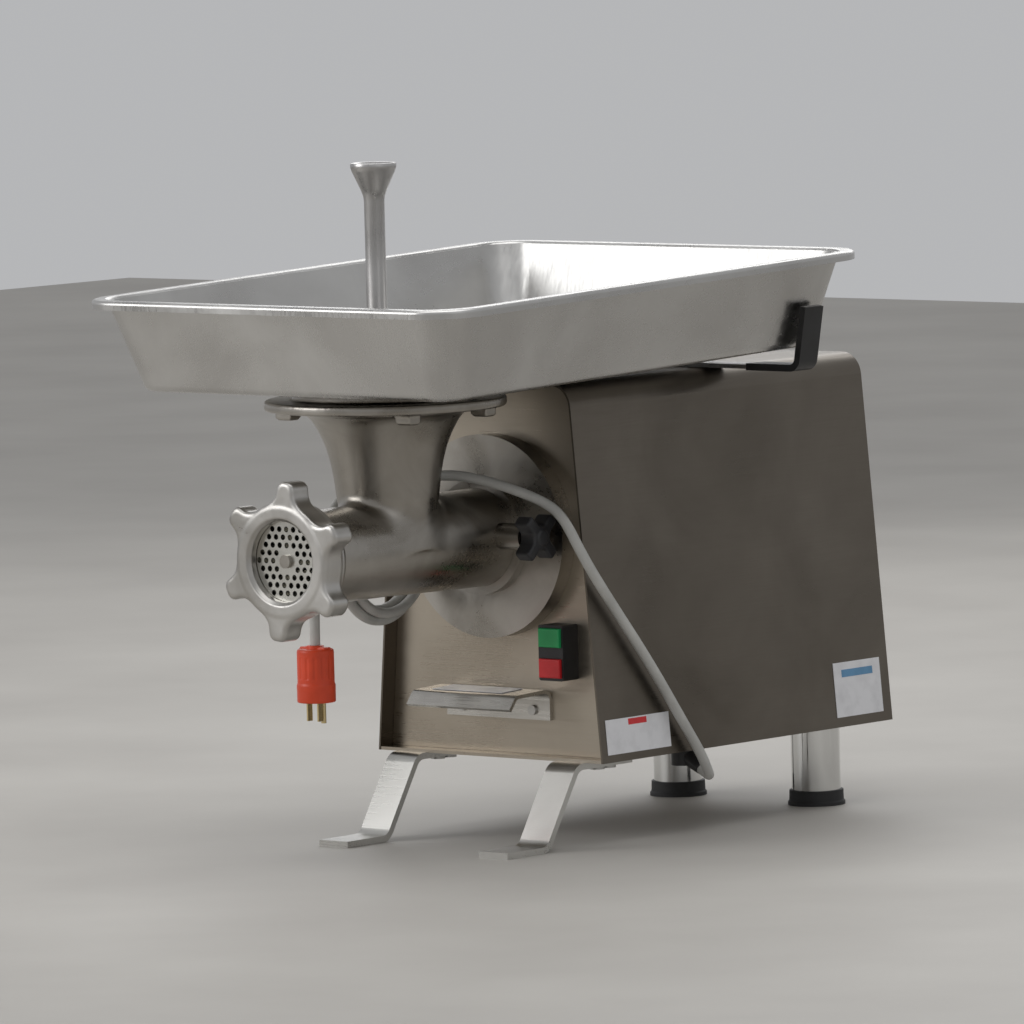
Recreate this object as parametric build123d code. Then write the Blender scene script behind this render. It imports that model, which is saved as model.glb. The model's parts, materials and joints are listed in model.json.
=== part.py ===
from build123d import *
import math
import os

# Electric meat grinder, size 22. Millimetres, +Z up, front towards -Y, the switch side towards +X.
# The drawing frame has y = 0 at the housing's front edge. Parts are exported CENTRE_Y further forward,
# so that the origin lies on the floor under the middle of the machine.
CENTRE_Y = 60.5

# Housing
WRAP_DEPTH = 424.0
BASE_Z = 77.0
TOP_Z = 422.0
BASE_HALF_WIDTH = 135.15
SIDE_TAPER = 0.087
SHEET = 2.0
TOP_CORNER_R = 22.0
PANEL_SETBACK = 17.0
BASE_THICK = 3.0

# Drive line
AXIS_Z = 280.0
GEAR_MODULE = 2.5
PINION_TEETH = 18
GEAR_TEETH = 54
LAYSHAFT_Z = AXIS_Z - GEAR_MODULE * (PINION_TEETH + GEAR_TEETH) / 2
RUNNING = 0.05

# Grinder head
BORE_R = 37.0
PLATE_R = 41.25
PLATE_THICK = 9.5
PLATE_FRONT_Y = -271.5
THREAD_R = 46.0
RING_FRONT_Y = -281.5
RING_LENGTH = 30.0
OUTLET_R = 36.5
THROAT_Y = -132.0
HUB_R = 93.4
KNOB_Y = -25.0
KNOB_Z = 284.0

# Tray and stomper
TRAY_WIDTH = 452.0
TRAY_LENGTH = 602.0
TRAY_CENTRE_Y = 0.75
TRAY_BASE_Z = 434.5
TRAY_DEPTH = 84.0
TRAY_TILT = 1.8
STOMPER_Y = -140.0
STOMPER_TOP_Z = 630.0

# Cord
CORD_R = 4.75
COIL_CENTRE = (-66.0, -68.0, 265.0)
COIL_R = 54.0
COIL_SECTION_R = 10.2
RUN_ROUTE = [
    (128.5, 147.6, 58.0),
    (139.0, 146.0, 52.3),
    (147.0, 137.0, 55.0),
    (146.0, 127.0, 75.0),
    (143.0, 108.0, 103.0),
    (138.0, 66.0, 164.0),
    (131.5, 12.0, 233.0),
    (129.0, -14.0, 268.0),
    (105.0, -12.5, 304.0),
    (86.0, -18.0, 317.0),
    (59.0, -29.0, 328.0),
    (29.0, -40.0, 337.0),
    (0.0, -44.0, 340.0),
    (-30.0, -45.0, 337.0),
    (-50.0, -56.0, 329.0),
    (-58.0, -76.0, 320.0),
    (-61.5, -97.0, 311.0),
]
TAIL_ROUTE = [
    (-63.0, -23.0, 303.0),
    (-70.0, -40.0, 325.0),
    (-75.0, -70.0, 334.0),
    (-72.0, -104.0, 328.0),
    (-65.0, -136.0, 312.0),
    (-59.0, -160.0, 286.0),
    (-58.0, -170.0, 252.0),
    (-58.3, -171.0, 222.0),
    (-58.0, -171.5, 193.0),
]
PLUG_X = -58.0
PLUG_Y = -171.5
PLUG_TOP_Z = 193.0


# Helpers

def y_cyl(radius, y0, y1, x=0.0, z=AXIS_Z):
    """A cylinder along Y."""
    return Pos(x, (y0 + y1) / 2, z) * Rot(90, 0, 0) * Cylinder(radius, y1 - y0)


def x_cyl(radius, x0, x1, y, z):
    """A cylinder along X."""
    return Pos((x0 + x1) / 2, y, z) * Rot(0, 90, 0) * Cylinder(radius, x1 - x0)


def z_cyl(radius, z0, z1, x=0.0, y=0.0):
    """A cylinder along Z."""
    return Pos(x, y, (z0 + z1) / 2) * Cylinder(radius, z1 - z0)


def block(x0, x1, y0, y1, z0, z1):
    """A box between two corners."""
    return Pos((x0 + x1) / 2, (y0 + y1) / 2, (z0 + z1) / 2) * Box(x1 - x0, y1 - y0, z1 - z0)


def spun(points, x=0.0, y=0.0, z=0.0):
    """A solid of revolution about a vertical axis, from (radius, height) points."""
    face = make_face(Polyline(*[(r, 0, h) for r, h in points], close=True))
    return Pos(x, y, z) * revolve(face, Axis.Z)


def spun_y(points):
    """A solid of revolution about the drive axis, from (y, radius) points."""
    face = make_face(Polyline(*[(r, y, 0) for y, r in points], close=True))
    return Pos(0, 0, AXIS_Z) * revolve(face, Axis.Y)


def strip(points, radii, width, thick, across):
    """A flat bar bent along a path. across is the direction of its width."""
    path = FilletPolyline(*points, radius=radii)
    start = Plane(origin=path @ 0, x_dir=across, z_dir=path % 0)
    return sweep(start * Rectangle(width, thick), path=path)


def half_width(z):
    """Half the housing's outer width at a height."""
    return BASE_HALF_WIDTH - SIDE_TAPER * (z - BASE_Z)


def housing_section(inset, bottom_z):
    """The housing's outline in XZ, inset all round, down to a height."""
    top = TOP_Z - inset
    corners = [
        (-half_width(bottom_z) + inset, bottom_z),
        (-half_width(top) + inset, top),
        (half_width(top) - inset, top),
        (half_width(bottom_z) - inset, bottom_z),
    ]
    flat = make_face(Polyline(*corners, close=True))
    upper = flat.vertices().sort_by(Axis.Y)[-2:]
    return fillet(upper, TOP_CORNER_R - inset)


def housing_solid(inset, y0, y1, bottom_z=BASE_Z):
    """The housing's section run from y0 to y1."""
    upright = Plane(origin=(0, y0, 0), x_dir=(1, 0, 0), z_dir=(0, -1, 0))
    return extrude(upright * housing_section(inset, bottom_z), amount=-(y1 - y0))


# Housing

SCREW_X = 88.0
SCREW_Z = (105.0, 395.0)
REAR_PANEL_Y = WRAP_DEPTH - PANEL_SETBACK


def housing_wrap():
    """Inverted U of sheet, with four tabs inside that hold the rear panel."""
    body = housing_solid(0, 0, WRAP_DEPTH) - housing_solid(SHEET, -1, WRAP_DEPTH + 1, BASE_Z - 1)
    for side in (-1, 1):
        for z in SCREW_Z:
            edge = side * (half_width(z) - SHEET / 2)
            inner = side * (SCREW_X - 9)
            low, high = min(edge, inner), max(edge, inner)
            body += block(low, high, REAR_PANEL_Y - 3, REAR_PANEL_Y - 0.2, z - 9, z + 9)
            body -= y_cyl(2.2, REAR_PANEL_Y - 6, REAR_PANEL_Y + 3, side * SCREW_X, z)
    return body


def front_panel():
    """Panel with a turned edge, set back inside the wrap, with the hub's hole."""
    gap = SHEET + 0.2
    low = BASE_Z + BASE_THICK + 0.2
    panel = housing_solid(gap, PANEL_SETBACK, PANEL_SETBACK + 12, low)
    panel -= housing_solid(gap + SHEET, PANEL_SETBACK + SHEET, PANEL_SETBACK + 13, low + SHEET)
    return panel - y_cyl(60.2, 0, 40)


def rear_panel():
    """Louvred panel, held on by four screws."""
    low = BASE_Z + BASE_THICK + 0.2
    panel = housing_solid(SHEET + 0.2, REAR_PANEL_Y, REAR_PANEL_Y + SHEET, low)
    for column in (-45, 45):
        for row in range(7):
            z = 170 + 20 * row
            panel -= block(column - 30, column + 30, REAR_PANEL_Y - 1, REAR_PANEL_Y + 3, z, z + 6)
    for side in (-1, 1):
        for z in SCREW_Z:
            panel -= y_cyl(2.2, REAR_PANEL_Y - 1, REAR_PANEL_Y + 3, side * SCREW_X, z)
    return panel


def rear_screws():
    """Four pan-head screws."""
    front, back = REAR_PANEL_Y - 5, REAR_PANEL_Y + SHEET
    return [
        y_cyl(2.15, front, back, side * SCREW_X, z) + y_cyl(4.5, back, back + 2.5, side * SCREW_X, z)
        for side in (-1, 1)
        for z in SCREW_Z
    ]


def base_plate():
    """Floor of the housing."""
    width = half_width(BASE_Z) - SHEET - 0.6
    plate = block(-width, width, 0.5, WRAP_DEPTH - 2, BASE_Z, BASE_Z + BASE_THICK)
    for x, y in LEG_BOLTS:
        plate -= z_cyl(4.1, BASE_Z - 1, BASE_Z + 5, x, y)
    return plate


# Legs and feet

LEG_X = 96.0
LEG_WIDTH = 34.3
LEG_THICK = 6.0
LEG_BOLTS = [(side * LEG_X, y) for side in (-1, 1) for y in (38, 54)]
REAR_LEG_X = 84.0
REAR_LEG_Y = 371.0
REAR_LEG_R = 23.0
REAR_LEG_WALL = 2.0


def front_leg(side):
    """Strip that runs forward from under the base, down to the floor, and forward again."""
    mid = LEG_THICK / 2
    high = BASE_Z - mid
    points = [(side * LEG_X, y, z) for y, z in ((68, high), (-9, high), (-54, mid), (-111, mid))]
    leg = strip(points, [14, 14], LEG_WIDTH, LEG_THICK, (1, 0, 0))
    for x, y in LEG_BOLTS:
        leg -= z_cyl(4.1, high - 5, high + 5, x, y)
    return leg


def leg_bolts():
    """Four bolts up through the legs and the base plate, each with its nut in one piece."""
    return [
        z_cyl(4.05, BASE_Z - LEG_THICK, BASE_Z + BASE_THICK, x, y)
        + z_cyl(7, BASE_Z - LEG_THICK - 4, BASE_Z - LEG_THICK, x, y)
        + z_cyl(7, BASE_Z + BASE_THICK, BASE_Z + BASE_THICK + 5, x, y)
        for x, y in LEG_BOLTS
    ]


def rear_leg(side):
    """Chrome tube."""
    x = side * REAR_LEG_X
    tube = z_cyl(REAR_LEG_R, 10, BASE_Z, x, REAR_LEG_Y)
    return tube - z_cyl(REAR_LEG_R - REAR_LEG_WALL, 9, BASE_Z + 1, x, REAR_LEG_Y)


def rear_foot(side):
    """Rubber foot with a flared skirt and a plug that fills the tube's end."""
    points = [
        (0, 0), (27, 0), (27, 3), (25.7, 4.5), (25.4, 14),
        (23.05, 14), (23.05, 10), (20.9, 10), (20.9, 26), (0, 26),
    ]
    return spun(points, side * REAR_LEG_X, REAR_LEG_Y)


# Front handle and switch

HANDLE_HALF = 62.0
HANDLE_THICK = 3.4
HANDLE_SCREW_X = 42.0
HANDLE_SCREW_Z = 121.0


def front_handle():
    """Bent strip: a plate on the panel, a web that reaches forward, and a lip that turns down."""
    back = PANEL_SETBACK - HANDLE_THICK / 2
    points = [(0, back, 112), (0, back, 139.5), (0, -33, 137.5), (0, -42, 126)]
    handle = strip(points, [9, 7], 2 * HANDLE_HALF, HANDLE_THICK, (1, 0, 0))
    for x in (-HANDLE_SCREW_X, HANDLE_SCREW_X):
        handle -= y_cyl(2.6, 10, 20, x, HANDLE_SCREW_Z)
    return handle


def handle_screws():
    """Two screws through the handle's back plate."""
    face = PANEL_SETBACK - HANDLE_THICK
    return [
        y_cyl(2.55, face, PANEL_SETBACK - 0.05, x, HANDLE_SCREW_Z)
        + y_cyl(4.6, face - 2.6, face, x, HANDLE_SCREW_Z)
        for x in (-HANDLE_SCREW_X, HANDLE_SCREW_X)
    ]


SWITCH = (66.0, 95.0, -5.0, 17.0, 151.0, 202.0)
BUTTON_X = (68.2, 92.8)
START_Z = (181.8, 199.2)
STOP_Z = (153.8, 171.2)
BUTTON_GAP = 0.3


def switch_box():
    """Box with a pocket for each button."""
    box = fillet(block(*SWITCH).edges().filter_by(Axis.Y), 2.5)
    left, right = BUTTON_X[0] - BUTTON_GAP, BUTTON_X[1] + BUTTON_GAP
    for low, high in (START_Z, STOP_Z):
        box -= block(left, right, -6, 13, low - BUTTON_GAP, high + BUTTON_GAP)
    return box


def button(heights):
    """Push button, a little proud of the box."""
    cap = block(BUTTON_X[0], BUTTON_X[1], -8.5, 9.0, *heights)
    return fillet(cap.edges().group_by(Axis.Y)[0], 1.2)


# Hub and clamp knob

BARREL_BACK_Y = 30.0
BOSS_R = 12.0
STEM_R = 5.0


def hub_disc():
    """Round face with a collar that takes the head's spigot, and a boss for the clamp screw."""
    hub = y_cyl(HUB_R, 0, PANEL_SETBACK - 0.1)
    hub += y_cyl(53, -10, 1)
    hub += y_cyl(60, 10, 43.8)
    hub += block(40, 66, -30, 1, KNOB_Z - 11, KNOB_Z + 9)
    hub += x_cyl(BOSS_R, 38, 72, KNOB_Y, KNOB_Z)
    hub -= y_cyl(45.1, -60, BARREL_BACK_Y + 0.2)
    hub -= y_cyl(17, 20, 60)
    hub -= x_cyl(STEM_R + RUNNING, 30, 80, KNOB_Y, KNOB_Z)
    return hub


def clamp_knob():
    """Four-lobed knob about X."""
    outline = Circle(12)
    for i in range(4):
        outline += Rot(0, 0, 45 + 90 * i) * Pos(16.5, 0) * RectangleRounded(16, 10.5, 4.5)
    knob = extrude(outline, amount=18)
    knob += Pos(0, 0, 18) * Cylinder(7, 1.5, align=(Align.CENTER, Align.CENTER, Align.MIN))
    knob = Pos(74, KNOB_Y, KNOB_Z) * Rot(0, 90, 0) * knob
    return knob - x_cyl(STEM_R - 0.02, 74, 88, KNOB_Y, KNOB_Z)


def clamp_stem():
    """Screw that the knob turns against the head's barrel."""
    return x_cyl(STEM_R - 0.02, 46, 88, KNOB_Y, KNOB_Z)


# Grinder head

COLLAR_TOP_Z = 427.2


def throat(outer):
    """The feed throat, flared like a trumpet: its outside, or its hollow."""
    if outer:
        edge = ThreePointArc((46, 0, 322), (54, 0, 368), (74, 0, 405))
        rest = Polyline(
            (74, 0, 405), (110, 0, 407), (110, 0, 417), (84, 0, 417), (84, 0, COLLAR_TOP_Z),
            (0, 0, COLLAR_TOP_Z), (0, 0, 290), (46, 0, 290), (46, 0, 322),
        )
    else:
        edge = ThreePointArc((36.5, 0, 322), (46, 0, 368), (68, 0, 408))
        rest = Polyline(
            (68, 0, 408), (70, 0, 440), (0, 0, 440), (0, 0, 282), (36.5, 0, 282), (36.5, 0, 322),
        )
    return Pos(0, THROAT_Y, 0) * revolve(make_face(edge + rest), Axis.Z)


def grinder_head():
    """Barrel with its throat, the ring's thread at the front, and the spigot at the back."""
    outside = [
        (-269.3, 0), (-269.3, THREAD_R), (-246, THREAD_R), (-242, 43),
        (-150, 43), (-40, 45), (BARREL_BACK_Y, 45), (BARREL_BACK_Y, 0),
    ]
    head = spun_y(outside) + throat(True)
    head -= throat(False)
    head -= y_cyl(BORE_R, -260, 20)
    head -= y_cyl(PLATE_R + 0.1, -280, -251)
    head -= y_cyl(15.05 + RUNNING, 10, 40)
    return head


def ring_nut():
    """Six-lobed nut with the outlet in its front face."""
    outline = Circle(54.5)
    for i in range(6):
        lobe = make_face(Polyline((45, -14.5), (72.5, -8.5), (72.5, 8.5), (45, 14.5), close=True))
        outline += Rot(0, 0, 84 + 60 * i) * lobe
    outline = fillet(outline.vertices(), 4)
    lobes = extrude(outline, amount=25)
    nut = Pos(0, RING_FRONT_Y, AXIS_Z) * Rot(-90, 0, 0) * lobes
    nut += y_cyl(52.5, RING_FRONT_Y + 20, RING_FRONT_Y + RING_LENGTH)
    nut -= y_cyl(OUTLET_R, RING_FRONT_Y - 1, RING_FRONT_Y + 12)
    nut -= y_cyl(PLATE_R + 0.4, PLATE_FRONT_Y - 0.3, -260)
    return nut - y_cyl(THREAD_R + 0.35, -269.6, -250)


def cutting_plate():
    """Perforated plate with rings of holes in a triangular grid, and a keyway for its pin."""
    pitch = 8.3
    places = []
    for row in range(-5, 6):
        for column in range(-6, 7):
            x = pitch * (column + 0.5 * (row % 2))
            z = pitch * row * math.sqrt(3) / 2
            if 12.5 < math.hypot(x, z) < 35.2:
                places.append((x, z))
    holes = [Pos(x, z) * Circle(2.6) for x, z in places]
    face = Circle(PLATE_R) - Circle(6.1) - Pos(0, -PLATE_R) * Rectangle(4.2, 6) - holes
    return Pos(0, PLATE_FRONT_Y, AXIS_Z) * Rot(-90, 0, 0) * extrude(face, amount=PLATE_THICK)


def plate_key():
    """Pin in the head's rim that stops the plate from turning."""
    z = AXIS_Z + PLATE_R - 1.2
    return y_cyl(1.8, -268.5, -263, 0, z) & block(-5, 5, -270, -260, z - 3, AXIS_Z + PLATE_R)


KNIFE_FRONT_Y = -261.8
KNIFE_BACK_Y = -251.8


def knife():
    """Four-bladed knife on the worm's square."""
    face = Circle(13)
    for i in range(4):
        face += Rot(0, 0, 90 * i) * Pos(19, 2) * Rectangle(38, 9)
    face = (face & Circle(38)) - Rectangle(12.2, 12.2)
    blades = extrude(face, amount=KNIFE_BACK_Y - KNIFE_FRONT_Y)
    return Pos(0, KNIFE_FRONT_Y, AXIS_Z) * Rot(-90, 0, 0) * blades


WORM_FRONT_Y = -251.5
WORM_BACK_Y = 19.5
WORM_TURNS = 5


def worm():
    """Feed screw: tapered core with its flight, the front square and pin, and the tang at the back."""
    length = WORM_BACK_Y - WORM_FRONT_Y
    core = spun_y([(WORM_FRONT_Y, 0), (WORM_FRONT_Y, 20), (WORM_BACK_Y, 15.5), (WORM_BACK_Y, 0)])
    pitch = (length - 12) / WORM_TURNS
    path = Helix(pitch=pitch, height=length - 12, radius=25)
    start = Plane(origin=path @ 0, x_dir=(1, 0, 0), z_dir=path % 0)
    flight = sweep(start * Rectangle(22.6, 6), path=path, is_frenet=True)
    body = core + Pos(0, WORM_FRONT_Y + 6, AXIS_Z) * Rot(-90, 0, 0) * flight
    body += y_cyl(15.05, WORM_BACK_Y - 2, 30)
    body += block(-9, 9, 28, 56, AXIS_Z - 9, AXIS_Z + 9)
    body += block(-6, 6, KNIFE_FRONT_Y, WORM_FRONT_Y + 2, AXIS_Z - 6, AXIS_Z + 6)
    return body + y_cyl(6, PLATE_FRONT_Y - 3.5, KNIFE_FRONT_Y + 2)


# Gear train

def gear(teeth, thick, turn):
    """Spur gear with straight-sided teeth, from z = 0 up."""
    pitch_r = GEAR_MODULE * teeth / 2
    root_r = pitch_r - 1.25 * GEAR_MODULE
    tip_r = pitch_r + 0.8 * GEAR_MODULE
    step = 2 * math.pi / teeth
    root_half = 0.29 * step * pitch_r
    tip_half = 0.11 * step * pitch_r
    tooth = ((root_r, -root_half), (tip_r, -tip_half), (tip_r, tip_half), (root_r, root_half))
    points = []
    for i in range(teeth):
        a = i * step + math.radians(turn)
        for out, across in tooth:
            x = out * math.cos(a) - across * math.sin(a)
            y = out * math.sin(a) + across * math.cos(a)
            points.append((x, y))
    return extrude(make_face(Polyline(*points, close=True)), amount=thick)


def gear_at(teeth, y0, y1, z, bore, turn=0.0):
    """A gear on a shaft along Y."""
    wheel = Pos(0, y0, z) * Rot(-90, 0, 0) * gear(teeth, y1 - y0, turn)
    return wheel - y_cyl(bore, y0 - 1, y1 + 1, 0, z)


OUTPUT_R = 15.0
LAYSHAFT_R = 11.0
MOTOR_SHAFT_R = 10.0
CASE_FRONT_Y = 44.0
CASE_BACK_Y = 146.0
COVER_BACK_Y = 154.0


def output_gear():
    """Large gear on the output shaft."""
    return gear_at(GEAR_TEETH, 72, 94, AXIS_Z, OUTPUT_R + 0.01)


def output_shaft():
    """Shaft with the square socket for the worm's tang."""
    shaft = y_cyl(OUTPUT_R, 36, 106)
    return shaft - block(-9.1, 9.1, 30, 58, AXIS_Z - 9.1, AXIS_Z + 9.1)


def layshaft():
    """Intermediate shaft, under the drive axis."""
    return y_cyl(LAYSHAFT_R, 52, 152, 0, LAYSHAFT_Z)


def layshaft_pinion():
    """Small gear that drives the output gear."""
    return gear_at(PINION_TEETH, 70, 96, LAYSHAFT_Z, LAYSHAFT_R + 0.01, 180 / PINION_TEETH)


def layshaft_gear():
    """Large gear that the motor's pinion drives."""
    return gear_at(GEAR_TEETH, 114, 134, LAYSHAFT_Z, LAYSHAFT_R + 0.01, 180 / GEAR_TEETH)


def motor_pinion():
    """Small gear on the motor's shaft."""
    return gear_at(PINION_TEETH, 112, 136, AXIS_Z, MOTOR_SHAFT_R + 0.01)


def motor_shaft():
    """Shaft through the rotor, in two bearings."""
    return y_cyl(MOTOR_SHAFT_R, 110, 336)


CASE_X = 82.0
CASE_LOW_Z = 106.0
CASE_HIGH_Z = 360.0
CASE_WALL = 7.0


def gearbox_case():
    """Cast tub on two feet, open at the back."""
    case = block(-CASE_X, CASE_X, CASE_FRONT_Y, CASE_BACK_Y, CASE_LOW_Z, CASE_HIGH_Z)
    case = fillet(case.edges().filter_by(Axis.Y), 18)
    for side in (-1, 1):
        case += block(side * 60 - 16, side * 60 + 16, 60, 130, BASE_Z + BASE_THICK, CASE_LOW_Z + 4)
    inner = block(
        -CASE_X + CASE_WALL, CASE_X - CASE_WALL, CASE_FRONT_Y + CASE_WALL, CASE_BACK_Y + 1,
        CASE_LOW_Z + CASE_WALL, CASE_HIGH_Z - CASE_WALL,
    )
    case -= fillet(inner.edges().filter_by(Axis.Y), 12)
    case -= y_cyl(28, 40, 60)
    return case


def gearbox_cover():
    """Plate between the gearbox and the motor."""
    cover = block(-CASE_X, CASE_X, CASE_BACK_Y, COVER_BACK_Y, CASE_LOW_Z, CASE_HIGH_Z)
    cover = fillet(cover.edges().filter_by(Axis.Y), 18)
    return cover - y_cyl(22, 140, 160) - y_cyl(LAYSHAFT_R + RUNNING, 140, 160, 0, LAYSHAFT_Z)


def shaft_seal():
    """Seal round the output shaft in the gearbox's front wall."""
    return y_cyl(28, 44, 50.8) - y_cyl(OUTPUT_R + RUNNING, 40, 60)


def ball_bearings():
    """Output shaft's two bearings, the layshaft's, and the motor's."""
    return [
        y_cyl(30, 51, 67) - y_cyl(OUTPUT_R + RUNNING, 40, 70),
        y_cyl(24, 53, 65, 0, LAYSHAFT_Z) - y_cyl(LAYSHAFT_R + RUNNING, 50, 70, 0, LAYSHAFT_Z),
        y_cyl(22, 146, 160) - y_cyl(MOTOR_SHAFT_R + RUNNING, 140, 170),
        y_cyl(22, 320, 334) - y_cyl(MOTOR_SHAFT_R + RUNNING, 310, 340),
    ]


MOTOR_R = 78.0
MOTOR_BACK_Y = 342.0
MOTOR_WALL = 4.0


def motor_case():
    """Round motor shell with its end cover and a foot."""
    case = y_cyl(MOTOR_R, COVER_BACK_Y, MOTOR_BACK_Y)
    case -= y_cyl(MOTOR_R - MOTOR_WALL, COVER_BACK_Y - 1, MOTOR_BACK_Y - 8)
    foot = block(-50, 50, 200, 300, BASE_Z + BASE_THICK, AXIS_Z - 60)
    foot -= block(-38, 38, 190, 310, 92, AXIS_Z - 86)
    case += foot - y_cyl(MOTOR_R - 2, 190, 310)
    web = y_cyl(26, 318, MOTOR_BACK_Y - 6) - y_cyl(22, 310, 336)
    return case + web - y_cyl(MOTOR_SHAFT_R + 2, 300, 338)


def stator():
    """Wound core inside the motor's shell."""
    return y_cyl(MOTOR_R - 4.1, 190, 290) - y_cyl(46, 180, 300)


def rotor():
    """Rotor core on the motor's shaft."""
    return y_cyl(45.5, 188, 292) - y_cyl(MOTOR_SHAFT_R + 0.01, 180, 300)


def motor_bolts():
    """Four bolts that hold the cover and the gearbox case together."""
    return [
        y_cyl(5, COVER_BACK_Y, 160, side * 68, z)
        for side in (-1, 1)
        for z in (CASE_LOW_Z + 14, CASE_HIGH_Z - 14)
    ]


def capacitor():
    """Run capacitor, beside the motor."""
    return y_cyl(20, 190, 290, -98, 105)


def contactor():
    """Switching relay on the base."""
    return block(70, 115, 210, 270, BASE_Z + BASE_THICK, 140)


# Tray, its yoke and the stomper

def tray_shell(inset):
    """The tray's tapered body, inset on all sides."""
    top = RectangleRounded(TRAY_WIDTH - 26 - 2 * inset, TRAY_LENGTH - 26 - 2 * inset, 36 - inset)
    bottom = RectangleRounded(TRAY_WIDTH - 72 - 2 * inset, TRAY_LENGTH - 78 - 2 * inset, 29 - inset)
    return loft([bottom, Pos(0, 0, TRAY_DEPTH - inset) * top])


def feed_tray():
    """Deep tray with a rolled rim and a hole over the throat."""
    wall = 3.0
    outside = tray_shell(0)
    outside = fillet(outside.edges().group_by(Axis.Z)[0], 9)
    inside = fillet(tray_shell(wall).edges().group_by(Axis.Z)[0], 6)
    rim = RectangleRounded(TRAY_WIDTH, TRAY_LENGTH, 46)
    rim -= RectangleRounded(TRAY_WIDTH - 28, TRAY_LENGTH - 28, 35)
    rim = Pos(0, 0, TRAY_DEPTH - 6) * extrude(rim, amount=8)
    rim = fillet(rim.faces().sort_by(Axis.Z)[-1].edges(), 3.4)
    tray = outside + rim - Pos(0, 0, wall) * inside
    tray -= Pos(0, THROAT_Y - TRAY_CENTRE_Y, 0) * Cylinder(66, 30)
    return Pos(0, TRAY_CENTRE_Y, TRAY_BASE_Z) * Rot(TRAY_TILT, 0, 0) * tray


YOKE_Y = 226.0
YOKE_WIDTH = 24.0
YOKE_THICK = 4.0


def tray_yoke():
    """Flat bar over the housing, turned up at both ends to hold the tray's sides."""
    mid = TOP_Z + YOKE_THICK / 2
    points = [(-209, YOKE_Y, 481), (-199, YOKE_Y, mid), (199, YOKE_Y, mid), (209, YOKE_Y, 481)]
    yoke = strip(points, [9, 9], YOKE_WIDTH, YOKE_THICK, (0, 1, 0))
    for x in (-70, 70):
        yoke -= z_cyl(3.6, TOP_Z - 1, TOP_Z + 6, x, YOKE_Y)
    return yoke


def yoke_sleeve(side):
    """Black coating round the yoke's turned-up end."""
    mid = TOP_Z + YOKE_THICK / 2
    end = (side * 208.91, YOKE_Y, 480.5)
    points = [(side * 140, YOKE_Y, mid), (side * 199, YOKE_Y, mid), end]
    return strip(points, [9], YOKE_WIDTH + 2.4, YOKE_THICK + 2.4, (0, 1, 0)) - tray_yoke()


def yoke_screws():
    """Two screws that hold the yoke down, through the housing's top."""
    return [
        z_cyl(3.5, TOP_Z + 0.01, TOP_Z + YOKE_THICK, x, YOKE_Y)
        + z_cyl(7, TOP_Z + YOKE_THICK, TOP_Z + YOKE_THICK + 4, x, YOKE_Y)
        for x in (-70, 70)
    ]


def stomper():
    """Pusher: a foot in the throat, a long shaft and a funnel-shaped top."""
    top = STOMPER_TOP_Z
    points = [
        (0, 320), (26, 320), (26, 350), (9.3, 366), (9.3, 598),
        (21, top - 3), (21, top), (17, top), (0, top - 4),
    ]
    return spun(points, 0, STOMPER_Y)


# Labels

def side_label(y0, y1, z0, z1):
    """Thin sheet stuck to the housing's right side."""
    z = (z0 + z1) / 2
    tilt = -math.degrees(math.atan(SIDE_TAPER))
    return Pos(half_width(z) + 0.35, (y0 + y1) / 2, z) * Rot(0, tilt, 0) * Box(0.5, y1 - y0, z1 - z0)


def handle_label():
    """Thin sheet stuck to the handle's web, which slopes down a little to the front."""
    return Pos(-3, -11, 140.7) * Rot(2.4, 0, 0) * Box(84, 30, 0.5)


# Cord

def corner_radii(points):
    """Each corner's radius: 0.45 of the shorter run over the tangent of half the turn."""
    radii = []
    for a, b, c in zip(points, points[1:], points[2:]):
        before, after = Vector(*b) - Vector(*a), Vector(*c) - Vector(*b)
        half_turn = math.radians(before.get_angle(after) / 2)
        radii.append(0.45 * min(before.length, after.length) / math.tan(half_turn))
    return radii


def cord_tube(name, points):
    """Round cord along a route of straight runs and tangent arcs."""
    radii = corner_radii(points)
    path = FilletPolyline(*points, radius=radii)
    start = Plane(origin=path @ 0, z_dir=path % 0)
    tube = sweep(start * Circle(CORD_R), path=path)
    print(name, "length in mm", round(path.length, 1), "corner radii", [round(r) for r in radii])
    return tube


def cord_coil():
    """Outer shape of the tied coil."""
    return Pos(*COIL_CENTRE) * Rot(0, 90, 0) * Torus(COIL_R, COIL_SECTION_R)


def coil_tie():
    """Strap round the coil at its back."""
    x, y, z = COIL_CENTRE
    return z_cyl(COIL_SECTION_R + 1.5, z - 6, z + 6, x, y + COIL_R) - cord_coil()


def strain_relief():
    """Gland under the base, with a tapered sleeve that points out and down."""
    tip, next_point = Vector(*RUN_ROUTE[0]), Vector(*RUN_ROUTE[1])
    along = (next_point - tip).normalized()
    sleeve = Plane(origin=tip - along * 26, z_dir=along) * Cone(
        8, 5.4, 26, align=(Align.CENTER, Align.CENTER, Align.MIN)
    )
    gland = z_cyl(11, 60, BASE_Z, 104.5, 151.2)
    return gland + sleeve


def plug_body():
    """Round plug with its cord grip."""
    body = z_cyl(17.7, 141, 160, PLUG_X, PLUG_Y) + z_cyl(17.0, 160, 190, PLUG_X, PLUG_Y)
    body = fillet(body.edges().filter_by(GeomType.CIRCLE).sort_by(Axis.Z)[-1], 4)
    return body + z_cyl(8, 188, PLUG_TOP_Z, PLUG_X, PLUG_Y)


def plug_blades():
    """Two flat blades and a round pin."""
    blades = [
        block(PLUG_X + x - 0.8, PLUG_X + x + 0.8, PLUG_Y - 6, PLUG_Y + 0.3, 124, 141)
        for x in (-6.35, 6.35)
    ]
    return blades + [z_cyl(2.4, 121, 141, PLUG_X, PLUG_Y + 9)]


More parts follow.
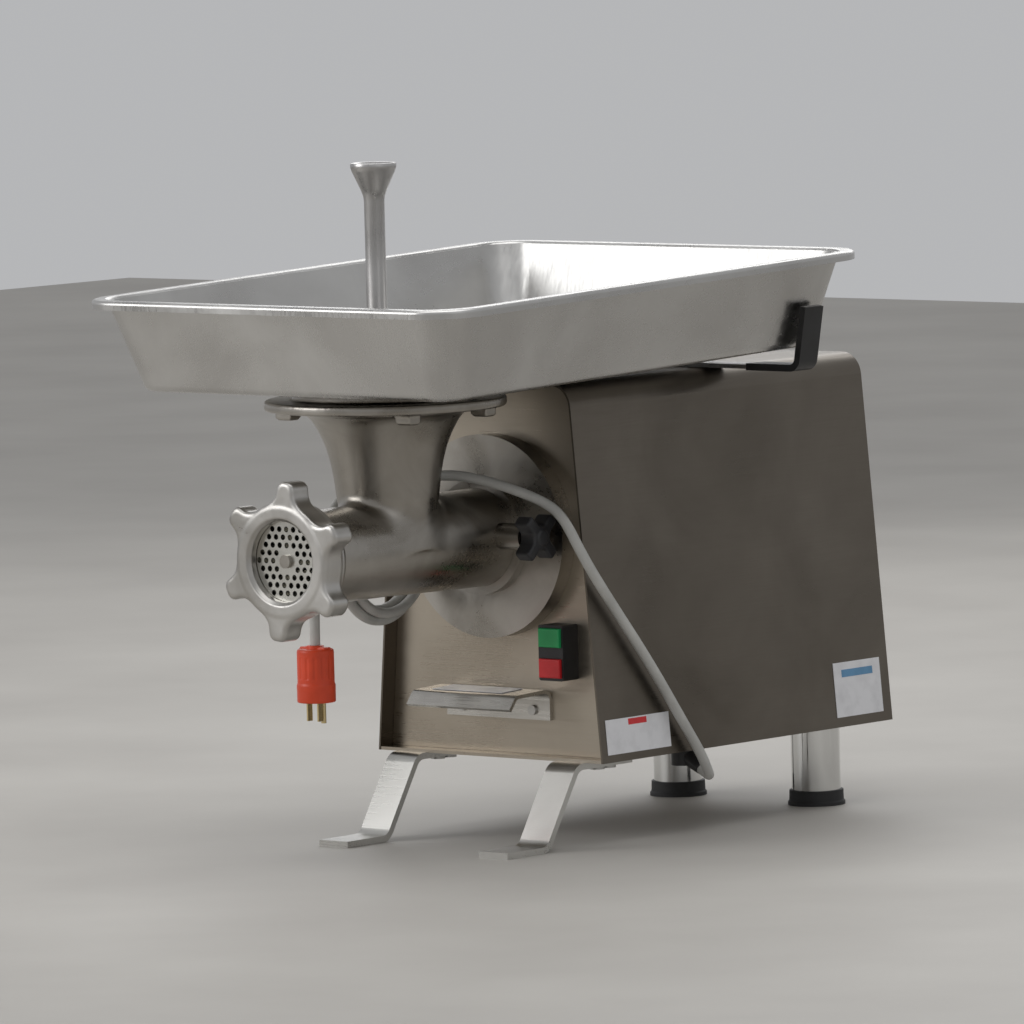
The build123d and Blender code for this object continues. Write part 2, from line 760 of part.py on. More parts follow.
def write(name, shape):
    """Writes one node's STEP file, moved from the drawing frame to the part's own frame."""
    solids = shape if isinstance(shape, list) else [shape]
    moved = [Pos(0, -CENTRE_Y, 0) * solid for solid in solids]
    whole = moved[0] if len(moved) == 1 else Compound(children=moved)
    export_step(whole, f"parts/{name}.step")


NODES = {
    "housing_wrap": housing_wrap(),
    "front_panel": front_panel(),
    "rear_panel": rear_panel(),
    "rear_screws": rear_screws(),
    "base_plate": base_plate(),
    "front_leg_left": front_leg(-1),
    "front_leg_right": front_leg(1),
    "leg_bolts": leg_bolts(),
    "rear_leg_left": rear_leg(-1),
    "rear_leg_right": rear_leg(1),
    "rear_foot_left": rear_foot(-1),
    "rear_foot_right": rear_foot(1),
    "front_handle": front_handle(),
    "handle_screws": handle_screws(),
    "handle_label": handle_label(),
    "switch_box": switch_box(),
    "start_button": button(START_Z),
    "stop_button": button(STOP_Z),
    "hub_disc": hub_disc(),
    "clamp_knob": clamp_knob(),
    "clamp_stem": clamp_stem(),
    "grinder_head": grinder_head(),
    "ring_nut": ring_nut(),
    "cutting_plate": cutting_plate(),
    "plate_key": plate_key(),
    "knife": knife(),
    "worm": worm(),
    "output_shaft": output_shaft(),
    "output_gear": output_gear(),
    "layshaft": layshaft(),
    "layshaft_pinion": layshaft_pinion(),
    "layshaft_gear": layshaft_gear(),
    "motor_pinion": motor_pinion(),
    "motor_shaft": motor_shaft(),
    "rotor": rotor(),
    "stator": stator(),
    "motor_case": motor_case(),
    "motor_bolts": motor_bolts(),
    "gearbox_case": gearbox_case(),
    "gearbox_cover": gearbox_cover(),
    "shaft_seal": shaft_seal(),
    "ball_bearings": ball_bearings(),
    "capacitor": capacitor(),
    "contactor": contactor(),
    "feed_tray": feed_tray(),
    "tray_yoke": tray_yoke(),
    "yoke_sleeve_left": yoke_sleeve(-1),
    "yoke_sleeve_right": yoke_sleeve(1),
    "yoke_screws": yoke_screws(),
    "stomper": stomper(),
    "side_label_front": side_label(8, 98, 84, 116),
    "side_label_rear": side_label(342, 411, 86, 137),
    "strain_relief": strain_relief(),
    "cord_run": cord_tube("cord_run", RUN_ROUTE),
    "cord_coil": cord_coil(),
    "coil_tie": coil_tie(),
    "cord_tail": cord_tube("cord_tail", TAIL_ROUTE),
    "plug_body": plug_body(),
    "plug_blades": plug_blades(),
}

os.makedirs("parts", exist_ok=True)
for node, shape in NODES.items():
    write(node, shape)
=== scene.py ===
import json
import math

import bpy
import numpy as np
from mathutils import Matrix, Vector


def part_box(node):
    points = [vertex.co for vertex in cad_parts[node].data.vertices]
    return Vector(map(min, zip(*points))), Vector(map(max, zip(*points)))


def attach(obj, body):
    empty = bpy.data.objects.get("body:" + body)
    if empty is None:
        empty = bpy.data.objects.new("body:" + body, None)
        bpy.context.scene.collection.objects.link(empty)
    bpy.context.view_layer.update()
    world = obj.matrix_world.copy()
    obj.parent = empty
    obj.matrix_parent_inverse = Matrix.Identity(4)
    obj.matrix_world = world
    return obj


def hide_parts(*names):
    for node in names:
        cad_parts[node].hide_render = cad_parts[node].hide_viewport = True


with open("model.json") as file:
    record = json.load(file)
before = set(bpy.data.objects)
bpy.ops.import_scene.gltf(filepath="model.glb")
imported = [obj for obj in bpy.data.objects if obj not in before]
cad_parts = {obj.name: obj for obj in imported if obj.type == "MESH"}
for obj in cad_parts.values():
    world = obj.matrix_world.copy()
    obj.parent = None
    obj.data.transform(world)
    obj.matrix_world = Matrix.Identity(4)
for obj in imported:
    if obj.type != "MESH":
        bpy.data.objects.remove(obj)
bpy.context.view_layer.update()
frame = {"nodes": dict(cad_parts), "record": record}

import openvdb
from mathutils import Matrix, Vector

# Electric meat grinder, size 22. The CAD frame is in metres: +Z up, front towards -Y, switch side towards +X.
# Sizes below are in millimetres, from the housing's front edge, unless a line says otherwise.
ROW_SHIFT = Vector((0, -0.0605, 0))
NODES = frame["nodes"]


def at(x, y, z):
    """A place given in millimetres from the housing's front edge, in the row frame in metres."""
    return Vector((x, y, z)) / 1000 + ROW_SHIFT


# Materials

class Shader:
    """A node material with short ways to add noise, wear and bump."""

    def __init__(self, name, color, metallic, roughness):
        self.material = bpy.data.materials.new(name)
        self.material.use_nodes = True
        self.tree = self.material.node_tree
        self.shader = self.tree.nodes["Principled BSDF"]
        self.set("Base Color", (*color, 1))
        self.set("Metallic", metallic)
        self.set("Roughness", roughness)
        self.place = self.tree.nodes.new("ShaderNodeTexCoord").outputs["Object"]
        self.height = None

    def set(self, socket, value):
        """Sets a constant on the shader's own socket."""
        self.shader.inputs[socket].default_value = value

    def link(self, start, end):
        """Joins two sockets."""
        self.tree.links.new(start, end)

    def noise(self, scale, stretch=(1, 1, 1), detail=4.0, distortion=0.0):
        """Noise in 0..1, stretched by scaling the coordinates."""
        mapping = self.tree.nodes.new("ShaderNodeMapping")
        mapping.inputs["Scale"].default_value = stretch
        self.link(self.place, mapping.inputs["Vector"])
        noise = self.tree.nodes.new("ShaderNodeTexNoise")
        noise.inputs["Scale"].default_value = scale
        noise.inputs["Detail"].default_value = detail
        noise.inputs["Distortion"].default_value = distortion
        self.link(mapping.outputs["Vector"], noise.inputs["Vector"])
        return noise.outputs["Fac"]

    def ramp(self, value, low, high):
        """Maps a value's usual span, 0.3 to 0.7, to low and high."""
        node = self.tree.nodes.new("ShaderNodeMapRange")
        numbers = {"From Min": 0.3, "From Max": 0.7, "To Min": low, "To Max": high}
        for socket, number in numbers.items():
            node.inputs[socket].default_value = number
        self.link(value, node.inputs["Value"])
        return node.outputs["Result"]

    def maths(self, operation, first, second):
        """One arithmetic step between sockets or numbers."""
        node = self.tree.nodes.new("ShaderNodeMath")
        node.operation = operation
        for socket, value in zip(node.inputs, (first, second)):
            if isinstance(value, (int, float)):
                socket.default_value = value
            else:
                self.link(value, socket)
        return node.outputs["Value"]

    def blend(self, first, second, share):
        """A mix of two values by the first one's share."""
        part = self.maths("MULTIPLY", first, share)
        return self.maths("ADD", part, self.maths("MULTIPLY", second, 1 - share))

    def tint(self, value, dark, light, at_low=0.3, at_high=0.7):
        """Colours the surface between two colours by a value."""
        ramp = self.tree.nodes.new("ShaderNodeValToRGB")
        for stop, position, color in zip(ramp.color_ramp.elements, (at_low, at_high), (dark, light)):
            stop.position = position
            stop.color = (*color, 1)
        self.link(value, ramp.inputs["Fac"])
        self.link(ramp.outputs["Color"], self.shader.inputs["Base Color"])

    def rough(self, value):
        """Drives the roughness."""
        self.link(value, self.shader.inputs["Roughness"])

    def bump(self, value, distance, strength=1.0):
        """Adds a layer of relief, in metres, over the earlier ones."""
        node = self.tree.nodes.new("ShaderNodeBump")
        node.inputs["Strength"].default_value = strength
        node.inputs["Distance"].default_value = distance
        self.link(value, node.inputs["Height"])
        if self.height is not None:
            self.link(self.height, node.inputs["Normal"])
        self.height = node.outputs["Normal"]
        self.link(self.height, self.shader.inputs["Normal"])


def brushed(name, dark, light, roughness, grain, marks=0.25):
    """Brushed sheet metal: fine grain along one axis, soft smears and a few rubbed patches."""
    s = Shader(name, light, 1.0, roughness)
    fine = s.noise(60, grain, 3)
    smears = s.noise(7, detail=6, distortion=0.6)
    patches = s.noise(2.2, detail=3)
    s.tint(s.blend(smears, patches, 0.6), dark, light, 0.32, 0.68)
    grain_rough = s.ramp(fine, roughness - 0.06, roughness + 0.06)
    s.rough(s.maths("ADD", grain_rough, s.ramp(smears, -marks / 3, marks / 3)))
    s.bump(fine, 0.00006, 0.5)
    s.bump(patches, 0.0012, 0.25)
    return s.material


def cast(name, dark, light, roughness):
    """Cast or tinned metal: soft pitting, cloudy tone and rubbed high spots."""
    s = Shader(name, light, 1.0, roughness)
    pits = s.noise(260, detail=5)
    cloud = s.noise(14, detail=6, distortion=0.8)
    broad = s.noise(4, detail=2)
    s.tint(s.blend(cloud, broad, 0.55), dark, light, 0.36, 0.62)
    cloud_rough = s.ramp(cloud, roughness - 0.07, roughness + 0.1)
    s.rough(s.maths("ADD", cloud_rough, s.ramp(pits, -0.03, 0.05)))
    s.bump(pits, 0.00008, 0.35)
    s.bump(cloud, 0.0006, 0.2)
    return s.material


def plastic(name, color, roughness, speckle=0.25):
    """Moulded plastic or rubber with a fine texture and slight dust."""
    s = Shader(name, color, 0.0, roughness)
    grain = s.noise(700, detail=2)
    dust = s.noise(30, detail=6)
    darker = tuple(c * (1 - speckle) for c in color)
    lighter = tuple(min(1, c * (1 + speckle) + 0.006) for c in color)
    s.tint(dust, darker, lighter, 0.35, 0.7)
    s.rough(s.ramp(dust, roughness - 0.06, roughness + 0.12))
    s.bump(grain, 0.0001, 0.4)
    return s.material


def paper(name, color):
    """Glossy blank label with faint rubbing."""
    s = Shader(name, color, 0.0, 0.35)
    wear = s.noise(60, detail=5)
    s.tint(wear, tuple(c * 0.86 for c in color), color, 0.25, 0.55)
    s.rough(s.ramp(wear, 0.45, 0.28))
    s.bump(s.noise(18, detail=2), 0.0003, 0.3)
    return s.material


# Noise stretch for a grain along one axis
ALONG_Y = (14, 0.35, 14)
ALONG_X = (0.35, 14, 14)
ALONG_Z = (14, 14, 0.35)
EVEN = (1, 1, 1)

MATERIALS = {
    # Wrap steel: a much darker base colour than the panel's steel, painted shade for the dim switch side; the
    # noise between its two colours is brushed tone
    "stainless_wrap": brushed("wrap_steel_painted_shade", (0.105, 0.09, 0.072), (0.2, 0.178, 0.15), 0.36, ALONG_Y),
    "stainless_panel": brushed("panel_steel", (0.33, 0.285, 0.23), (0.48, 0.43, 0.36), 0.34, ALONG_X),
    "leg_steel": brushed("leg_steel", (0.42, 0.41, 0.385), (0.66, 0.65, 0.62), 0.32, ALONG_X),
    "chrome_tube": brushed("chrome", (0.62, 0.62, 0.61), (0.82, 0.82, 0.81), 0.12, ALONG_Z, 0.1),
    "black_rubber": plastic("rubber", (0.018, 0.018, 0.019), 0.62),
    "handle_steel": brushed("handle_steel", (0.42, 0.4, 0.37), (0.68, 0.66, 0.62), 0.3, ALONG_X),
    "label_white": paper("label", (0.78, 0.78, 0.8)),
    "black_plastic": plastic("black_plastic", (0.016, 0.016, 0.018), 0.4),
    "button_green": plastic("green", (0.015, 0.33, 0.1), 0.35, 0.15),
    "button_red": plastic("red", (0.62, 0.02, 0.025), 0.35, 0.15),
    "fastener_steel": brushed("fastener", (0.35, 0.34, 0.32), (0.6, 0.59, 0.57), 0.3, EVEN),
    "cast_head": cast("head_metal", (0.235, 0.215, 0.185), (0.46, 0.435, 0.4), 0.3),
    "cast_hub": cast("hub_metal", (0.27, 0.25, 0.22), (0.5, 0.475, 0.44), 0.3),
    "ring_cast": cast("ring_metal", (0.36, 0.345, 0.32), (0.56, 0.545, 0.52), 0.33),
    "plate_steel": brushed("plate_steel", (0.55, 0.54, 0.5), (0.78, 0.77, 0.73), 0.26, EVEN),
    "gear_steel": brushed("gear_steel", (0.4, 0.39, 0.37), (0.6, 0.59, 0.57), 0.3, EVEN),
    "motor_iron": plastic("motor_paint", (0.1, 0.11, 0.12), 0.45),
    "capacitor_can": brushed("can", (0.5, 0.5, 0.5), (0.7, 0.7, 0.7), 0.3, ALONG_Y),
    "tray_aluminium": brushed("tray_metal", (0.43, 0.42, 0.405), (0.66, 0.655, 0.64), 0.31, (6, 1, 1), 0.3),
    "yoke_steel": brushed("yoke_steel", (0.25, 0.24, 0.23), (0.42, 0.41, 0.4), 0.35, ALONG_X),
    "yoke_coating": plastic("coating", (0.012, 0.012, 0.013), 0.38),
    "stomper_aluminium": brushed("stomper_metal", (0.42, 0.41, 0.4), (0.62, 0.61, 0.6), 0.3, ALONG_Z),
    "cord_grey": plastic("cord_jacket", (0.5, 0.495, 0.47), 0.45, 0.12),
    "plug_orange": plastic("plug_shell", (0.72, 0.06, 0.012), 0.38, 0.12),
    "blade_brass": brushed("blades", (0.55, 0.43, 0.22), (0.75, 0.62, 0.36), 0.25, ALONG_Z),
}
SLOT_OF = {row["node"]: row["material_slot"] for row in frame["record"]["subparts"]}


def dress(obj, slot_name):
    """Gives a piece its material and its slot."""
    obj.data.materials.clear()
    obj.data.materials.append(MATERIALS[slot_name])
    return obj


def smooth_mesh(mesh, angle=35):
    """Smooth shading with sharp edges above an angle."""
    mesh.shade_smooth()
    mesh.set_sharp_from_angle(angle=math.radians(angle))


# Softened edges, in millimetres
BEVEL = {
    "front_handle": 0.9, "switch_box": 0.8, "hub_disc": 1.4, "base_plate": 0.7,
    "front_leg_left": 1.3, "front_leg_right": 1.3, "rear_leg_left": 0.5, "rear_leg_right": 0.5,
    "rear_foot_left": 1.0, "rear_foot_right": 1.0, "start_button": 0.5, "stop_button": 0.5,
    "yoke_sleeve_left": 1.4, "yoke_sleeve_right": 1.4, "tray_yoke": 0.7, "yoke_screws": 0.9,
    "housing_wrap": 0.5, "feed_tray": 0.5, "leg_bolts": 0.6, "rear_screws": 0.6,
    "cutting_plate": 0.25, "plug_blades": 0.25, "coil_tie": 0.8, "strain_relief": 1.0,
}
BEVEL_FROM_ANGLE = 40


def finish_cad_node(name, obj):
    """A CAD node that is shown gets its material, smooth shading and softened edges."""
    dress(obj, SLOT_OF[name])
    smooth_mesh(obj.data)
    if name in BEVEL:
        bevel = obj.modifiers.new("soft_edges", "BEVEL")
        bevel.width = BEVEL[name] / 1000
        bevel.segments = 2
        bevel.limit_method = "ANGLE"
        bevel.angle_limit = math.radians(BEVEL_FROM_ANGLE)
        bevel.harden_normals = False


for node_name, node_object in NODES.items():
    finish_cad_node(node_name, node_object)


# Meshes from solid formulas

def mesh_object(name, verts, faces, slot_name, body, angle=35):
    """A new piece from vertices in metres, riding on a body."""
    mesh = bpy.data.meshes.new(name)
    mesh.from_pydata([tuple(v) for v in verts], [], [tuple(f) for f in faces])
    mesh.update()
    smooth_mesh(mesh, angle)
    obj = bpy.data.objects.new(name, mesh)
    bpy.context.scene.collection.objects.link(obj)
    dress(obj, slot_name)
    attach(obj, body)
    return obj


def solid_mesh(name, distance, low, high, step, slot_name, body):
    """Polygonises distance(x, y, z) <= 0 over a box in millimetres."""
    counts = [int((end - start) / step) + 1 for start, end in zip(low, high)]
    xs, ys, zs = (start + step * np.arange(count) for start, count in zip(low, counts))
    field = distance(xs[:, None, None], ys[None, :, None], zs[None, None, :])
    band = 3 * step
    field = np.clip(np.broadcast_to(field, counts), -band, band).astype(np.float32)
    grid = openvdb.FloatGrid(band)
    grid.copyFromArray(np.ascontiguousarray(field), tolerance=0.0)
    points, quads = grid.convertToQuads(isovalue=0.0)
    points = points * step + np.array(low)
    verts = points / 1000 + np.array(ROW_SHIFT)
    return mesh_object(name, verts, quads[:, ::-1], slot_name, body, 75)


def soft_min(a, b, radius):
    """Union with a fillet of about the given radius."""
    h = np.clip(0.5 + 0.5 * (b - a) / radius, 0, 1)
    return b + (a - b) * h - radius * h * (1 - h)


def soft_max(a, b, radius):
    """Overlap with its edge rounded by about the given radius."""
    return -soft_min(-a, -b, radius)


AXIS_Z = 280.0
HEAD_FRONT_Y = -269.3
HEAD_BACK_Y = 30
BARREL_Y = (-269, -246, -241, -150, -40, 40)
BARREL_R = (46, 46, 43, 43, 45, 45)
BORE_R = 37
PLATE_SEAT_R = 41.4
JOURNAL_R = 15.1

THROAT_Y = -132.0
NECK_R = 46
HOLLOW_R = 37.5
NECK_TOP_Z = 322
MOUTH_Z = 407
FLANGE_R = 109.9
FLANGE_Z = 412.5
COLLAR_R = 84
COLLAR_Z = 416.1
LUG_X = 72
LUG_REACH = 52
LUG_Z = 404

LOBE_TURN = 84
OUTLET_R = 36.5
THREAD_R = 46.35

KNOB_X = 83
KNOB_Y = -25
KNOB_Z = 284
PLUG_X = -58
PLUG_Y = -171.5
PLUG_FLUTES = 14
STOMPER_Y = -140


def throat_radius(z, offset):
    """The throat's radius by height: straight at the neck, then flared to the mouth."""
    t = np.clip((z - NECK_TOP_Z) / (MOUTH_Z - NECK_TOP_Z), 0, 1)
    return offset + 9 * t + 19 * t**3.2


def head_solid(x, y, z):
    """Barrel and flared throat, joined by a soft fillet, with the flange, lugs and hollow."""
    radial = np.sqrt(x**2 + (z - AXIS_Z) ** 2)
    barrel_r = np.interp(y, BARREL_Y, BARREL_R)
    barrel = np.maximum(radial - barrel_r, np.maximum(HEAD_FRONT_Y - y, y - HEAD_BACK_Y))
    around = np.sqrt(x**2 + (y - THROAT_Y) ** 2)
    neck_r = throat_radius(z, NECK_R) - np.interp(z, [286, 326], [3.8, 0])
    neck = np.maximum((around - neck_r) * 0.9, np.maximum(284 - z, z - 410))
    body = soft_min(barrel, neck, 11)
    flange = soft_max(around - FLANGE_R, np.abs(z - FLANGE_Z) - 4.5, 3)
    collar = np.maximum(around - COLLAR_R, np.abs(z - COLLAR_Z) - 11)
    body = soft_min(body, flange, 12)
    body = soft_min(body, collar, 3)
    for lug_y in (THROAT_Y - LUG_REACH, THROAT_Y + LUG_REACH):
        for lug_x in (LUG_X, -LUG_X):
            sides = np.maximum(np.abs(x - lug_x) - 9, np.abs(y - lug_y) - 7)
            body = soft_min(body, soft_max(sides, np.abs(z - LUG_Z) - 6, 3), 4)
    hollow = np.maximum(around - throat_radius(z, HOLLOW_R), 285 - z)
    bore = np.maximum(radial - BORE_R, np.maximum(-300 - y, y - 20))
    recess = np.maximum(radial - PLATE_SEAT_R, y + 251)
    journal = radial - JOURNAL_R
    for space in (hollow, bore, recess, journal):
        body = soft_max(body, -space, 1.0)
    return body


def turned(u, v, degrees):
    """Distances along and across a direction in a plane."""
    a = math.radians(degrees)
    return u * math.cos(a) + v * math.sin(a), -u * math.sin(a) + v * math.cos(a)


def ring_solid(x, y, z):
    """Six-lobed nut: tapered lobes with soft hollows between them, and the round outlet."""
    u, v = x, z - AXIS_Z
    radial = np.sqrt(u**2 + v**2)
    outline = radial - 53.5
    for i in range(6):
        along, side = turned(u, v, LOBE_TURN + 60 * i)
        flanks = (np.abs(side) - 9.2 - (70.5 - along) * 0.15) * 0.98
        lobe = soft_max(flanks, np.abs(along - 50) - 22.4, 7)
        outline = soft_min(outline, lobe, 11)
    lobes = soft_max(outline, np.abs(y + 269.2) - 12.2, 4.5)
    skirt = soft_max(radial - 52.4, np.abs(y + 262) - 10.4, 2)
    front = soft_max(radial - 49, np.abs(y + 272) - 9.4, 3)
    body = soft_min(soft_min(lobes, skirt, 3), front, 3)
    outlet = radial - OUTLET_R - np.clip((-278.5 - y) * 0.9, 0, 2.5)
    thread = np.maximum(radial - THREAD_R, -271.9 - y)
    return soft_max(soft_max(body, -outlet, 1.5), -thread, 0.5)


def knob_solid(x, y, z):
    """Four-lobed clamp knob about X, with flat faces and a hub button."""
    u, v = y - KNOB_Y, z - KNOB_Z
    radial = np.sqrt(u**2 + v**2)
    outline = radial - 11
    for i in range(4):
        along, side = turned(u, v, 45 + 90 * i)
        lobe = soft_max(np.abs(along - 13) - 11.4, np.abs(side) - 5.4, 3)
        outline = soft_min(outline, lobe, 4)
    body = soft_max(outline, np.abs(x - KNOB_X) - 8.9, 3)
    button = soft_max(radial - 7, np.abs(x - 88) - 5.4, 1.5)
    return soft_min(body, button, 1.5)


def plug_solid(x, y, z):
    """Plug shell: a wide base, a gripped waist with flutes, and the cord's collar."""
    u, v = x - PLUG_X, y - PLUG_Y
    radial = np.sqrt(u**2 + v**2)
    angle = np.arctan2(v, u)
    flutes = 0.55 * np.maximum(0, np.cos(angle * PLUG_FLUTES)) * (np.abs(z - 173) < 10)
    base = soft_max(radial - 17.6, np.abs(z - 149.5) - 8.4, 1.6)
    waist = soft_max(radial - 16.9 + flutes, np.abs(z - 171) - 18.9, 3)
    neck = soft_max(radial - 7.9, np.abs(z - 188) - 4.9, 1.2)
    body = soft_min(soft_min(base, waist, 1.5), neck, 1)
    clamp = soft_max(np.maximum(np.abs(u) - 15, np.abs(v) - 4.5), np.abs(z - 188) - 3.6, 1)
    return soft_min(body, clamp, 1)


HEAD_STEP = 1.25
RING_STEP = 0.8
SMALL_STEP = 0.6
# Name, formula, box, step, slot, body and the CAD node that the piece stands for
CAST_PIECES = (
    ("head_casting", head_solid, (-112, -272, 232), (112, 33, 432), HEAD_STEP,
     "cast_head", "machine", "grinder_head"),
    ("ring_casting", ring_solid, (-76, -284, 204), (76, -249, 356), RING_STEP,
     "ring_cast", "ring", "ring_nut"),
    ("knob_moulding", knob_solid, (72, -49, 260), (98, -1, 308), SMALL_STEP,
     "black_plastic", "knob", "clamp_knob"),
    ("plug_moulding", plug_solid, (-78, -192, 138), (-38, -151, 200), SMALL_STEP,
     "plug_orange", "machine", "plug_body"),
)


def build_cast_pieces():
    """Rounded cast and moulded pieces that stand for their CAD nodes."""
    pieces = {}
    for name, *shape, node in CAST_PIECES:
        pieces[name] = solid_mesh(name, *shape)
        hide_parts(node)
    return pieces


PLUG = build_cast_pieces()["plug_moulding"]


def lathe(name, profile, centre, slot_name, body, steps=96):
    """A turned piece from (radius, height) points in millimetres."""
    verts, faces = [], []
    for radius, height in profile:
        for i in range(steps):
            a = 2 * math.pi * i / steps
            x = centre[0] + radius * math.cos(a)
            y = centre[1] + radius * math.sin(a)
            verts.append(at(x, y, height))
    for row in range(len(profile) - 1):
        this, above = row * steps, (row + 1) * steps
        for i in range(steps):
            j = (i + 1) % steps
            faces.append((this + i, this + j, above + j, above + i))
    faces.append(tuple(reversed(range(steps))))
    last = (len(profile) - 1) * steps
    faces.append(tuple(range(last, last + steps)))
    return mesh_object(name, verts, faces, slot_name, body, 40)


def build_stomper():
    """Turned pusher: a domed foot, a round shaft and a hollowed funnel top."""
    foot = [(20, 320), (24, 321.2), (26, 324), (26, 346), (25, 350), (18, 357), (11, 364)]
    shaft = [(9.3, 368), (9.3, 596)]
    funnel = [(9.8, 600), (12, 606), (19.4, 622), (20.8, 626), (21, 628.6), (20.4, 629.8), (19.2, 630)]
    dish = [(17.5, 629.6), (15, 627.6), (6, 626.4), (0.5, 626)]
    profile = foot + shaft + funnel + dish
    piece = lathe("pusher_turned", profile, (0, STOMPER_Y), "stomper_aluminium", "pusher")
    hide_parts("stomper")


build_stomper()


# Plain coloured bands on the side labels

SIDE_TAPER = 0.087
BAND_HALF_THICK = 0.28
BAND_RAISE = 0.12


def label_band(name, node, size, offset, color_material):
    """A thin coloured band on a side label, leaning with the housing's side."""
    low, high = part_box(node)
    centre = (low + high) / 2
    tilt = Matrix.Rotation(-math.atan(SIDE_TAPER), 4, "Y")
    half = Vector((BAND_HALF_THICK, size[0] / 2, size[1] / 2)) / 1000
    shift = tilt @ (Vector((BAND_RAISE, *offset)) / 1000)
    corners = [(i, j, k) for i in (-1, 1) for j in (-1, 1) for k in (-1, 1)]
    verts = [centre + shift + tilt @ Vector((half.x * i, half.y * j, half.z * k)) for i, j, k in corners]
    faces = [(0, 1, 3, 2), (4, 6, 7, 5), (0, 4, 5, 1), (2, 3, 7, 6), (0, 2, 6, 4), (1, 5, 7, 3)]
    band = mesh_object(name, verts, faces, "label_white", "machine")
    band.data.materials.clear()
    band.data.materials.append(color_material)


label_band("label_red_band", "side_label_front", (26, 5.5), (0, 12), MATERIALS["button_red"])
label_band("label_blue_band", "side_label_rear", (46, 7), (0, 15), paper("band_blue", (0.12, 0.3, 0.5)))


# Cord

CORD_DIAMETER_M = 0.0095
RUN = [
    (128.5, 147.6, 58.0), (139.0, 146.0, 52.3), (147.0, 137.0, 55.0), (146.0, 127.0, 75.0),
    (143.0, 108.0, 103.0), (138.0, 66.0, 164.0), (131.5, 12.0, 233.0), (129.0, -14.0, 268.0),
    (105.0, -12.5, 304.0), (86.0, -18.0, 317.0), (59.0, -29.0, 328.0), (29.0, -40.0, 337.0),
    (0.0, -44.0, 340.0), (-30.0, -45.0, 337.0), (-50.0, -56.0, 329.0), (-58.0, -76.0, 320.0),
]
TAIL = [
    (-70.0, -40.0, 325.0), (-75.0, -70.0, 334.0), (-72.0, -104.0, 328.0), (-65.0, -136.0, 312.0),
    (-59.0, -160.0, 286.0), (-58.0, -170.0, 252.0), (-58.3, -171.0, 222.0), (-58.0, -171.5, 193.0),
]
COIL_CENTRE = (-66.0, -68.0, 265.0)
COIL_RADIUS = 54.0
COIL_STRANDS = 3
STRAND_OFFSET = 5.6
FIRST_TURN = 55.0
LAST_TURN = 360.0 * COIL_STRANDS - 50.0
POINTS_PER_TURN = 24


def coil_points():
    """Turns in the YZ plane from the top forward and down, packed as a triangle of strands."""
    count = int((LAST_TURN - FIRST_TURN) / 360 * POINTS_PER_TURN)
    points = []
    for i in range(count + 1):
        degrees = FIRST_TURN + (LAST_TURN - FIRST_TURN) * i / count
        turn = math.radians(degrees)
        strand = math.radians(45) + turn / COIL_STRANDS
        radius = COIL_RADIUS + STRAND_OFFSET * math.sin(strand)
        x = COIL_CENTRE[0] + STRAND_OFFSET * math.cos(strand)
        y = COIL_CENTRE[1] - radius * math.sin(turn)
        z = COIL_CENTRE[2] + radius * math.cos(turn)
        points.append((x, y, z))
    return points


def build_cord():
    """One spline from the strain relief, over the barrel, round the coil and down to the plug."""
    curve = bpy.data.curves.new("cord", "CURVE")
    curve.dimensions = "3D"
    curve.bevel_depth = CORD_DIAMETER_M / 2
    curve.bevel_resolution = 5
    curve.use_fill_caps = True
    spline = curve.splines.new("NURBS")
    route = RUN + coil_points() + TAIL
    spline.points.add(len(route) - 1)
    for point, place in zip(spline.points, route):
        point.co = (*at(*place), 1)
    spline.order_u = 3
    spline.use_endpoint_u = True
    spline.resolution_u = 8
    obj = bpy.data.objects.new("cord", curve)
    bpy.context.scene.collection.objects.link(obj)
    dress(obj, "cord_grey")
    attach(obj, "machine")
    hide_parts("cord_run", "cord_coil", "cord_tail")


build_cord()


# Stage, lights and camera, in metres

FLOOR_HALF = 6.0
CAMERA_DISTANCE = 9.6535
CAMERA_LENS_MM = 368.06
AIM_LEFT = 0.0389
AIM_UP = 0.025


def build_floor():
    """Plain floor."""
    mesh = bpy.data.meshes.new("floor")
    corners = [(FLOOR_HALF * i, FLOOR_HALF * j, 0) for i, j in ((-1, -1), (1, -1), (1, 1), (-1, 1))]
    mesh.from_pydata(corners, [], [(0, 1, 2, 3)])
    floor = bpy.data.objects.new("floor", mesh)
    bpy.context.scene.collection.objects.link(floor)
    s = Shader("floor_paint", (0.5, 0.48, 0.45), 0.0, 0.6)
    s.tint(s.noise(3, detail=5), (0.43, 0.41, 0.38), (0.5, 0.48, 0.445))
    s.bump(s.noise(160, detail=3), 0.0006, 0.3)
    floor.data.materials.append(s.material)


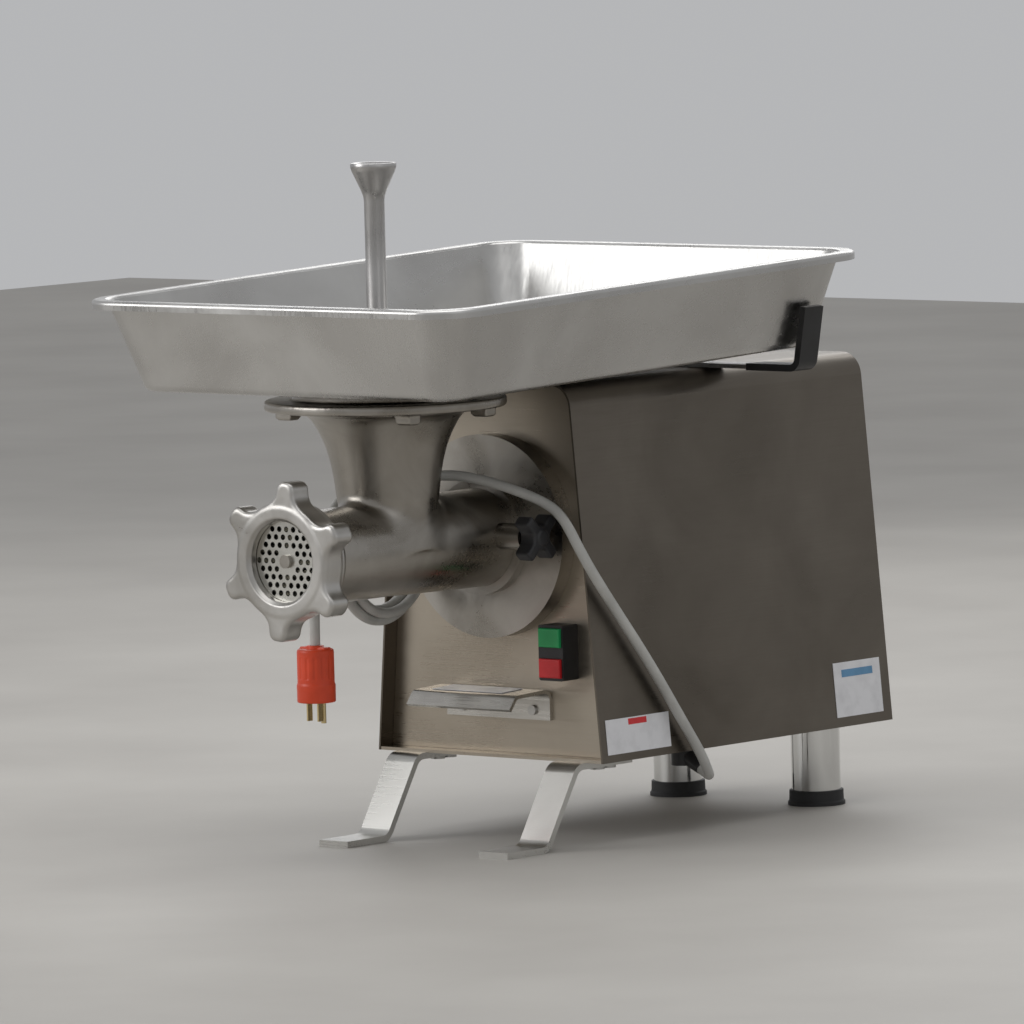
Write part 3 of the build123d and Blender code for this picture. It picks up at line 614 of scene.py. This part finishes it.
def area_light(name, place, target, size, power):
    """A white rectangle of light that faces a target."""
    data = bpy.data.lights.new(name, "AREA")
    data.shape = "RECTANGLE"
    data.size, data.size_y = size
    data.energy = power
    light = bpy.data.objects.new(name, data)
    bpy.context.scene.collection.objects.link(light)
    light.location = place
    light.rotation_mode = "QUATERNION"
    light.rotation_quaternion = (Vector(target) - Vector(place)).to_track_quat("-Z", "Y")


def build_lights():
    """Soft overhead and front light, dim on the switch side."""
    middle = (0, 0, 0.3)
    area_light("top", (0.2, -0.4, 2.6), middle, (2.6, 2.0), 27)
    area_light("front_left", (-1.8, -2.4, 1.5), middle, (1.8, 1.6), 27)
    area_light("back", (-1.2, 2.4, 1.8), middle, (2.2, 1.4), 18)
    area_light("right_low", (2.8, -1.2, 1.2), middle, (1.2, 1.0), 1.5)
    world = bpy.data.worlds.new("studio")
    bpy.context.scene.world = world
    world.use_nodes = True
    background = world.node_tree.nodes["Background"]
    background.inputs["Color"].default_value = (0.93, 0.94, 0.96, 1)
    background.inputs["Strength"].default_value = 0.5


def build_camera():
    """Long lens from the front right, a little above the barrel."""
    azimuth, elevation, roll = (math.radians(degrees) for degrees in (40.516, 4.871, -1.492))
    level = math.cos(elevation)
    back = Vector((math.sin(azimuth) * level, -math.cos(azimuth) * level, math.sin(elevation)))
    flat_right = Vector((math.cos(azimuth), math.sin(azimuth), 0))
    flat_up = back.cross(flat_right)
    right = flat_right * math.cos(roll) + flat_up * math.sin(roll)
    up = -flat_right * math.sin(roll) + flat_up * math.cos(roll)
    aim = at(0, 100, 270) - flat_right * AIM_LEFT + flat_up * AIM_UP
    data = bpy.data.cameras.new("camera")
    data.sensor_width = 36
    data.lens = CAMERA_LENS_MM
    data.clip_end = 100
    camera = bpy.data.objects.new("camera", data)
    bpy.context.scene.collection.objects.link(camera)
    turn = Matrix((right, up, back)).transposed().to_4x4()
    camera.matrix_world = Matrix.Translation(aim + back * CAMERA_DISTANCE) @ turn
    bpy.context.scene.camera = camera


build_floor()
build_lights()
build_camera()
bpy.context.scene.view_settings.view_transform = "Standard"
